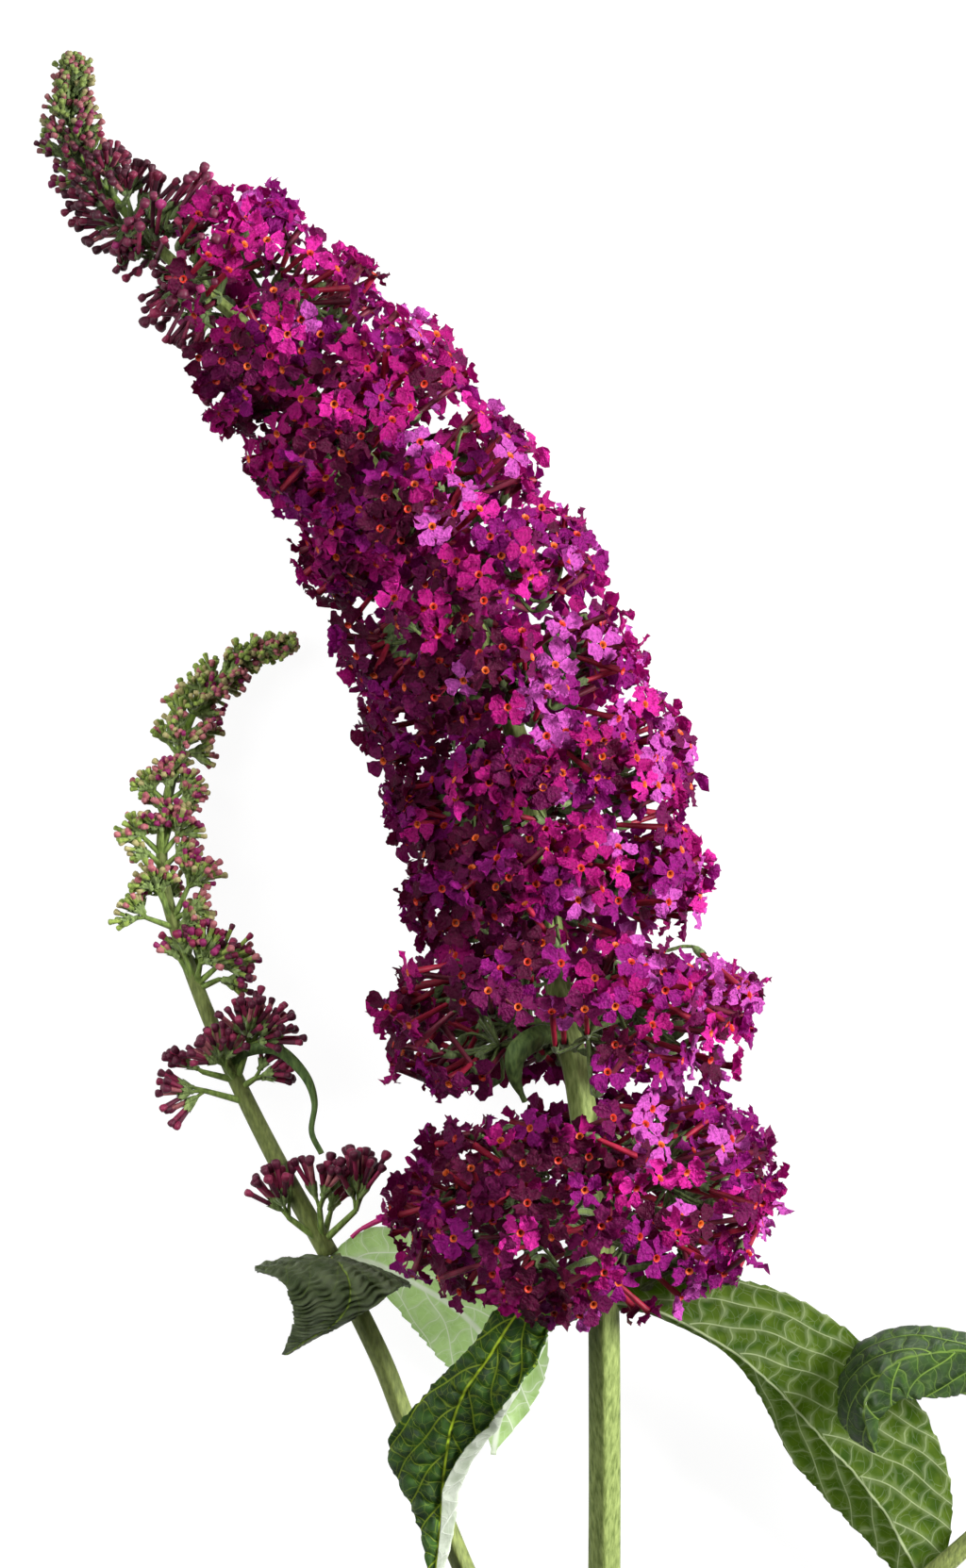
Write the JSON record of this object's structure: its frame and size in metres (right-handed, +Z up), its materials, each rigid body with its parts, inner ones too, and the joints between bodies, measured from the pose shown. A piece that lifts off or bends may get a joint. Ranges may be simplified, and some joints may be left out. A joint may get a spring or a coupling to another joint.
{
  "type": "cut flowering branch of butterfly bush",
  "caption": "Cut branch of butterfly bush: a long curved spike of small purple flowers on a green stem, two side shoots with young spikes in bud, and lance-shaped leaves.",
  "frame": {"origin": "bottom centre of the whole branch's bounding box, on the surface that it lies on", "axes": "+Y from the cut end of the main stem towards the tip of the flower spike, +X to the right as seen from above, +Z up; the branch lies on its back"},
  "size_m": [0.2324, 0.388, 0.0753],
  "materials": {
    "stem": "young green bark, matt, finely hairy",
    "leaf_top": "dark green upper side, wrinkled, matt",
    "leaf_underside": "grey-green felted underside, matt",
    "petal": "magenta-purple petals, satin",
    "bud": "wine-red closed buds, matt",
    "young_bud": "green buds with pink ends, matt"
  },
  "bodies": {
    "root": {"bract_front": "leaf_top", "bract_left": "leaf_top", "buds_left_1_left": "bud", "buds_left_1_right": "bud", "buds_left_2_left": "bud", "buds_left_2_right": "bud", "buds_left_3_left": "bud", "buds_left_3_right": "bud", "buds_left_4_left": "bud", "buds_left_4_right": "bud", "buds_left_5_left": "bud", "buds_left_5_right": "bud", "buds_left_6_left": "bud", "buds_left_6_right": "bud", "buds_right_1_left": "bud", "buds_right_1_right": "bud", "buds_right_2_left": "bud", "buds_right_2_right": "bud", "flowers_01_left": "petal", "flowers_01_right": "petal", "flowers_02_left": "petal", "flowers_02_right": "petal", "flowers_03_left": "petal", "flowers_03_right": "petal", "flowers_04_left": "petal", "flowers_04_right": "petal", "flowers_05_left": "petal", "flowers_05_right": "petal", "flowers_06_left": "petal", "flowers_06_right": "petal", "flowers_07_left": "petal", "flowers_07_right": "petal", "flowers_08_left": "petal", "flowers_08_right": "petal", "flowers_09_left": "petal", "flowers_09_right": "petal", "flowers_10_left": "bud", "flowers_10_right": "petal", "flowers_11_left": "bud", "flowers_11_right": "bud", "leaf_front": "leaf_top", "leaf_left_dark": "leaf_top", "leaf_left_pale": "leaf_underside", "leaf_right": "leaf_underside", "leaf_right_curled": "leaf_top", "leaf_right_far": "leaf_top", "left_shoot_lower": "stem", "left_shoot_upper": "stem", "main_stem": "stem", "right_shoot_lower": "stem", "right_shoot_upper": "stem", "tip_left": "young_bud", "tip_main": "young_bud", "tip_right": "young_bud"}
  },
  "joints": []
}
